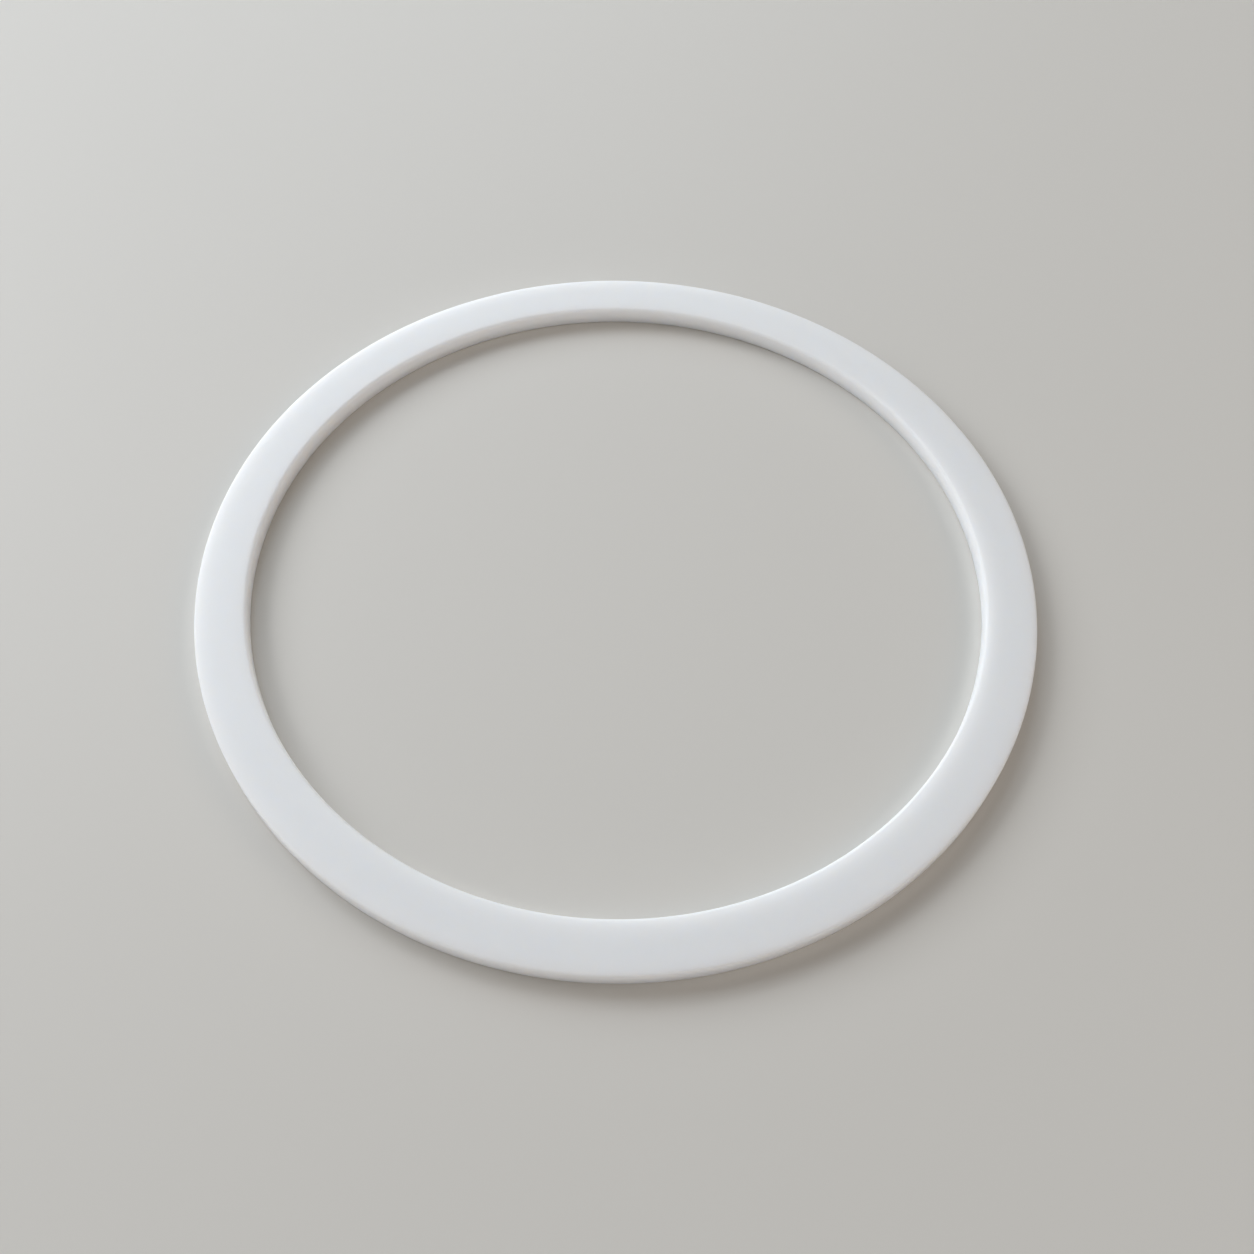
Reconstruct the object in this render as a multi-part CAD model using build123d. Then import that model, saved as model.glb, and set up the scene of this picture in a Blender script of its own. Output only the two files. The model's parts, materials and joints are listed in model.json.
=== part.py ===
from build123d import *
import os

# A flat PTFE sealing ring, turned from a moulded tube in one piece.
# It lies on its back face: the origin is the middle of the bore on that face, and +Z runs
# along the bore. Both faces are flat and alike, and every edge is broken with a small radius.

# Driving dimensions, in millimetres.
bore_diameter = 88.0
ring_width = 6.0  # from the bore to the rim
thickness = 2.5
bore_edge_radius = 0.4
rim_edge_radius = 0.25

# An edge radius can't be more than just under half of the smaller side of the section.
largest_share_of_side = 0.45

bore_radius = bore_diameter / 2


def edge_radius(wanted):
    return min(wanted, largest_share_of_side * min(ring_width, thickness))


def ring_section():
    """The ring cut through on one side: a flat bar with four rounded corners."""
    middle = (bore_radius + ring_width / 2, thickness / 2)
    bar = Plane.XZ * Pos(*middle) * Rectangle(ring_width, thickness)
    at_the_rim = bar.vertices().group_by(Axis.X)[-1]
    bar = fillet(at_the_rim, edge_radius(rim_edge_radius))
    at_the_bore = bar.vertices().group_by(Axis.X)[0]
    return fillet(at_the_bore, edge_radius(bore_edge_radius))


def sealing_ring():
    return revolve(ring_section(), axis=Axis.Z)


os.makedirs("parts", exist_ok=True)
export_step(sealing_ring(), "parts/sealing_ring.step")
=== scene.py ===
import bpy
import json
import math
from mathutils import Matrix, Vector


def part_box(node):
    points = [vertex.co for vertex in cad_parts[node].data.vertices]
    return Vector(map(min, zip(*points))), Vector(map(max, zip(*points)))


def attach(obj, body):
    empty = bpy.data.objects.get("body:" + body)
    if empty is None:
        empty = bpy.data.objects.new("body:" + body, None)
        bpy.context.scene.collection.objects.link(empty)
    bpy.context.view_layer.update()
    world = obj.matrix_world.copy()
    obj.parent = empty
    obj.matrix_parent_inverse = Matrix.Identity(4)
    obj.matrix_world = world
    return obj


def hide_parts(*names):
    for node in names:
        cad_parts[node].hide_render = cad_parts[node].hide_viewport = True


# A flat PTFE sealing ring lying on a pale floor, under broad soft window light.

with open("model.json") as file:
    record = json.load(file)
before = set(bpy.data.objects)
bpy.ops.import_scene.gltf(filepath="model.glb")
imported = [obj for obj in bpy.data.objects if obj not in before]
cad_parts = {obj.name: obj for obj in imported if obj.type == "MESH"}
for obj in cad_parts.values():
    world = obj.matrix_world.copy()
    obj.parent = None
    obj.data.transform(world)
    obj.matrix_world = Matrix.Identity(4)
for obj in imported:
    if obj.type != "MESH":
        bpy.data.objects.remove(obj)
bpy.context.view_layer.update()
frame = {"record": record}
print("frame loaded")


def deselectAll():
    bpy.ops.object.select_all(action="DESELECT")


def newMaterial(name):
    made = bpy.data.materials.new(name)
    made.use_nodes = True
    made.node_tree.nodes.clear()
    return made, made.node_tree.nodes, made.node_tree.links


def direction(azimuth, elevation):  # azimuth from +X towards +Y, elevation above the floor
    a, e = math.radians(azimuth), math.radians(elevation)
    return Vector((math.cos(a) * math.cos(e), math.sin(a) * math.cos(e), math.sin(e)))


view = {
    "azimuth": -90,  # the camera stands in front of the ring and looks down on it
    "elevation": 56.98,
    "distance": 0.14922,
    "roll": 1.41,
    "aim": Vector((0.00132, -0.00716, 0.0)),
    "sensor": 36,  # millimetres, and as wide as the lens is long, for a field of 53 degrees
    "lens": 36,
    "nearest": 0.005,
    "farthest": 20,
}


def makeCamera(v):
    back = direction(v["azimuth"], v["elevation"])
    bpy.ops.object.camera_add()
    camera = bpy.context.object
    camera.name = "camera"
    camera.data.sensor_width = v["sensor"]
    camera.data.lens = v["lens"]
    camera.data.clip_start = v["nearest"]
    camera.data.clip_end = v["farthest"]
    turn = (-back).to_track_quat("-Z", "Y").to_matrix().to_4x4()
    roll = Matrix.Rotation(math.radians(v["roll"]), 4, "Z")
    camera.matrix_world = Matrix.Translation(v["aim"] + back * v["distance"]) @ turn @ roll
    bpy.context.scene.camera = camera


makeCamera(view)
print("camera placed")

# three windows behind and to the left, and what the room's other sides throw back
lamps = [
    {"name": "windowLeft", "azimuth": 150, "elevation": 30, "distance": 1.3, "size": (0.9, 0.7),
     "power": 11.94, "colour": (0.922, 0.958, 1.0)},
    {"name": "windowBack", "azimuth": 100, "elevation": 30, "distance": 1.3, "size": (0.9, 0.7),
     "power": 3.71, "colour": (0.830, 0.937, 1.0)},
    {"name": "windowHigh", "azimuth": 118, "elevation": 50, "distance": 1.3, "size": (0.6, 0.5),
     "power": 2.40, "colour": (0.806, 0.894, 1.0)},
    {"name": "leftBounce", "azimuth": 230, "elevation": 30, "distance": 1.3, "size": (0.9, 0.7),
     "power": 2.62, "colour": (1.0, 0.985, 0.955)},
    {"name": "frontBounce", "azimuth": 270, "elevation": 5, "distance": 1.3, "size": (0.9, 0.2),
     "power": 1.76, "colour": (1.0, 0.860, 0.800)},
    {"name": "rightBounce", "azimuth": 0, "elevation": 30, "distance": 1.3, "size": (0.9, 0.7),
     "power": 4.30, "colour": (1.0, 0.875, 0.765)},
]
room = {
    "colour": (0.98, 0.99, 1.0),  # the faint light that comes from all round
    "strength": 0.1,
    "wall": (0.45, 0.45, 0.45),  # what is seen behind the floor, and in gloss
}


def addLamp(lamp):
    towards = direction(lamp["azimuth"], lamp["elevation"])
    bpy.ops.object.light_add(type="AREA", location=towards * lamp["distance"])
    made = bpy.context.object
    made.name = lamp["name"]
    made.rotation_euler = towards.to_track_quat("Z", "Y").to_euler()  # a lamp shines down its own -Z
    made.data.shape = "RECTANGLE"
    made.data.size, made.data.size_y = lamp["size"]
    made.data.energy = lamp["power"]
    made.data.color = lamp["colour"]


def lightRoom(r):
    world = bpy.data.worlds.new("room")
    bpy.context.scene.world = world
    world.use_nodes = True
    nodes, links = world.node_tree.nodes, world.node_tree.links
    nodes.clear()
    output = nodes.new("ShaderNodeOutputWorld")
    glow = nodes.new("ShaderNodeBackground")
    glow.inputs["Color"].default_value = (*r["colour"], 1)
    glow.inputs["Strength"].default_value = r["strength"]
    wall = nodes.new("ShaderNodeBackground")
    wall.inputs["Color"].default_value = (*r["wall"], 1)

    # the camera and glossy and clear things see the wall, and all else gets the faint light
    rays = nodes.new("ShaderNodeLightPath")
    mirrored = nodes.new("ShaderNodeMath")
    mirrored.operation = "MAXIMUM"
    seen = nodes.new("ShaderNodeMath")
    seen.operation = "MAXIMUM"
    links.new(rays.outputs["Is Glossy Ray"], mirrored.inputs[0])
    links.new(rays.outputs["Is Transmission Ray"], mirrored.inputs[1])
    links.new(rays.outputs["Is Camera Ray"], seen.inputs[0])
    links.new(mirrored.outputs["Value"], seen.inputs[1])

    either = nodes.new("ShaderNodeMixShader")
    links.new(seen.outputs["Value"], either.inputs["Fac"])
    links.new(glow.outputs["Background"], either.inputs[1])
    links.new(wall.outputs["Background"], either.inputs[2])
    links.new(either.outputs["Shader"], output.inputs["Surface"])


for lamp in lamps:
    addLamp(lamp)
lightRoom(room)
print("lights on")

table = {"size": 0.8, "gap": 0.00002, "colour": (0.678, 0.652, 0.609), "roughness": 0.55}


def makeFloor(t):
    deselectAll()
    bpy.ops.mesh.primitive_plane_add(size=t["size"], location=(0, 0, -t["gap"]))
    floor = bpy.context.object
    floor.name = "floor"
    made, nodes, links = newMaterial("paleFloor")
    output = nodes.new("ShaderNodeOutputMaterial")
    shader = nodes.new("ShaderNodeBsdfPrincipled")
    shader.inputs["Base Color"].default_value = (*t["colour"], 1)
    shader.inputs["Roughness"].default_value = t["roughness"]
    links.new(shader.outputs["BSDF"], output.inputs["Surface"])
    floor.data.materials.append(made)


makeFloor(table)
print("floor down")

# the ring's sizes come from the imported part: its box, and the plain lengths of its bore and rim
low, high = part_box("sealing_ring")
mounts = {m["name"]: m["dims"] for m in frame["record"]["mounts"] if "length_mm" in m["dims"]}
millimetres = 0.001
ring = {
    "outerRadius": high.x,
    "boreRadius": mounts["bore"]["r_mm"] * millimetres,
    "thickness": high.z - low.z,
    "boreLength": mounts["bore"]["length_mm"] * millimetres,  # between its two rounded edges
    "rimLength": mounts["rim"]["length_mm"] * millimetres,
    "edgeSteps": 8,  # faces round each edge
    "faceCuts": 5,  # rings of points across each flat face
    "turns": 720,
    "mergeWithin": 0.000001,
    "smoothUpTo": 40,  # degrees
}
print("ring sizes", ring)


def selectPoints(piece, test):  # points of the section, by their place
    bpy.ops.mesh.select_mode(type="VERT")
    bpy.ops.mesh.select_all(action="DESELECT")
    bpy.ops.object.mode_set(mode="OBJECT")
    for point in piece.data.vertices:
        point.select = test(point.co)
    bpy.ops.object.mode_set(mode="EDIT")


def selectLongEdges(piece, shortest):  # the section's two flat faces, seen edge on
    bpy.ops.mesh.select_mode(type="EDGE")
    bpy.ops.mesh.select_all(action="DESELECT")
    bpy.ops.object.mode_set(mode="OBJECT")
    points = piece.data.vertices
    for edge in piece.data.edges:
        run = points[edge.vertices[1]].co - points[edge.vertices[0]].co
        edge.select = abs(run.x) > shortest
    bpy.ops.object.mode_set(mode="EDIT")


def makeRing(r):  # a bar of the ring's section, with rounded corners, spun into a ring
    width = r["outerRadius"] - r["boreRadius"]
    middle = r["boreRadius"] + width / 2
    deselectAll()
    bpy.ops.mesh.primitive_plane_add(size=1, rotation=(math.radians(90), 0, 0))
    piece = bpy.context.object
    piece.name = "ringBody"
    piece.scale = (width, r["thickness"], 1)
    piece.location = (middle, 0, r["thickness"] / 2)
    bpy.ops.object.transform_apply(location=True, rotation=True, scale=True)
    bpy.ops.object.mode_set(mode="EDIT")
    corners = (
        (lambda place: place.x < middle, r["boreLength"]),
        (lambda place: place.x > middle, r["rimLength"]),
    )
    for onThisSide, straight in corners:
        radius = (r["thickness"] - straight) / 2
        selectPoints(piece, onThisSide)
        bpy.ops.mesh.bevel(affect="VERTICES", offset=radius, segments=r["edgeSteps"], profile=0.5)
    bpy.ops.mesh.select_all(action="SELECT")
    bpy.ops.mesh.delete(type="ONLY_FACE")
    selectLongEdges(piece, width / 2)
    bpy.ops.mesh.subdivide(number_cuts=r["faceCuts"])
    bpy.ops.mesh.select_all(action="SELECT")
    bpy.ops.mesh.spin(steps=r["turns"], angle=math.radians(360), center=(0, 0, 0), axis=(0, 0, 1))
    bpy.ops.mesh.select_all(action="SELECT")
    bpy.ops.mesh.remove_doubles(threshold=r["mergeWithin"])
    bpy.ops.mesh.normals_make_consistent(inside=False)
    bpy.ops.object.mode_set(mode="OBJECT")
    bpy.ops.object.shade_smooth_by_angle(angle=math.radians(r["smoothUpTo"]))
    return piece


ptfe = {
    "milkWhite": (0.912, 0.938, 0.960),
    "paleWhite": (0.932, 0.958, 0.980),
    "cloudsPerMetre": 150,
    "cloudDetail": 3,
    "linesPerMetre": 2400,  # tool marks that run round the faces
    "grainPerMetre": 8000,
    "fineDetail": 2,
    "roughness": (0.32, 0.44),
    "edgeRoughness": 0.80,  # the walls and the rounded edges are duller than the flat faces
    "edgeTilt": (0.995, 0.93),  # how far up the surface looks, where the edge starts and ends
    "lineShare": 0.4,  # of the surface relief, where the rest is grain
    "relief": 0.000003,
    "ior": 1.5,
    "glow": 0.0035,  # how far red light spreads inside, and green and blue a little less
    "spread": (1.0, 0.93, 0.85),
}


def addNoise(nodes, scale, detail):
    noise = nodes.new("ShaderNodeTexNoise")
    noise.inputs["Scale"].default_value = scale
    noise.inputs["Detail"].default_value = detail
    return noise


def makePtfe(p):
    made, nodes, links = newMaterial("milkyPtfe")
    output = nodes.new("ShaderNodeOutputMaterial")
    shader = nodes.new("ShaderNodeBsdfPrincipled")
    shader.inputs["IOR"].default_value = p["ior"]
    shader.inputs["Subsurface Weight"].default_value = 1.0
    shader.inputs["Subsurface Radius"].default_value = p["spread"]
    shader.inputs["Subsurface Scale"].default_value = p["glow"]
    links.new(shader.outputs["BSDF"], output.inputs["Surface"])

    place = nodes.new("ShaderNodeTexCoord")
    flatten = nodes.new("ShaderNodeVectorMath")  # without its height, a point's length is its radius
    flatten.operation = "MULTIPLY"
    flatten.inputs[1].default_value = (1, 1, 0)
    radius = nodes.new("ShaderNodeVectorMath")
    radius.operation = "LENGTH"
    links.new(place.outputs["Object"], flatten.inputs[0])
    links.new(flatten.outputs["Vector"], radius.inputs[0])

    clouds = addNoise(nodes, p["cloudsPerMetre"], p["cloudDetail"])
    grain = addNoise(nodes, p["grainPerMetre"], p["fineDetail"])
    lines = addNoise(nodes, p["linesPerMetre"], p["fineDetail"])
    lines.noise_dimensions = "1D"
    links.new(place.outputs["Object"], clouds.inputs["Vector"])
    links.new(place.outputs["Object"], grain.inputs["Vector"])
    links.new(radius.outputs["Value"], lines.inputs["W"])

    # the white is faintly clouded, as moulded powder is
    colour = nodes.new("ShaderNodeMix")
    colour.data_type = "RGBA"
    colour.inputs["A"].default_value = (*p["milkWhite"], 1)
    colour.inputs["B"].default_value = (*p["paleWhite"], 1)
    links.new(clouds.outputs["Fac"], colour.inputs["Factor"])
    links.new(colour.outputs["Result"], shader.inputs["Base Color"])

    # tool marks and grain together make the relief
    relief = nodes.new("ShaderNodeMix")
    relief.inputs["Factor"].default_value = p["lineShare"]
    links.new(grain.outputs["Fac"], relief.inputs["A"])
    links.new(lines.outputs["Fac"], relief.inputs["B"])
    bump = nodes.new("ShaderNodeBump")
    bump.inputs["Strength"].default_value = 1.0
    bump.inputs["Distance"].default_value = p["relief"]
    links.new(relief.outputs["Result"], bump.inputs["Height"])
    links.new(bump.outputs["Normal"], shader.inputs["Normal"])

    # they also change the gloss of the faces, which fades as the surface turns away from level
    gloss = nodes.new("ShaderNodeMapRange")
    gloss.inputs["To Min"].default_value = p["roughness"][0]
    gloss.inputs["To Max"].default_value = p["roughness"][1]
    links.new(relief.outputs["Result"], gloss.inputs["Value"])

    upward = nodes.new("ShaderNodeVectorMath")
    upward.operation = "DOT_PRODUCT"
    upward.inputs[1].default_value = (0, 0, 1)
    level = nodes.new("ShaderNodeMath")  # alike on both faces
    level.operation = "ABSOLUTE"
    atEdge = nodes.new("ShaderNodeMapRange")
    atEdge.inputs["From Min"].default_value = p["edgeTilt"][0]
    atEdge.inputs["From Max"].default_value = p["edgeTilt"][1]
    links.new(place.outputs["Normal"], upward.inputs[0])
    links.new(upward.outputs["Value"], level.inputs[0])
    links.new(level.outputs["Value"], atEdge.inputs["Value"])

    sheen = nodes.new("ShaderNodeMix")
    sheen.inputs["B"].default_value = p["edgeRoughness"]
    links.new(atEdge.outputs["Result"], sheen.inputs["Factor"])
    links.new(gloss.outputs["Result"], sheen.inputs["A"])
    links.new(sheen.outputs["Result"], shader.inputs["Roughness"])
    return made


ringBody = makeRing(ring)
ringBody.data.materials.append(makePtfe(ptfe))
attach(ringBody, "root")
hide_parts("sealing_ring")
print("ring made", len(ringBody.data.polygons), "faces")

bpy.context.scene.view_settings.view_transform = "Standard"
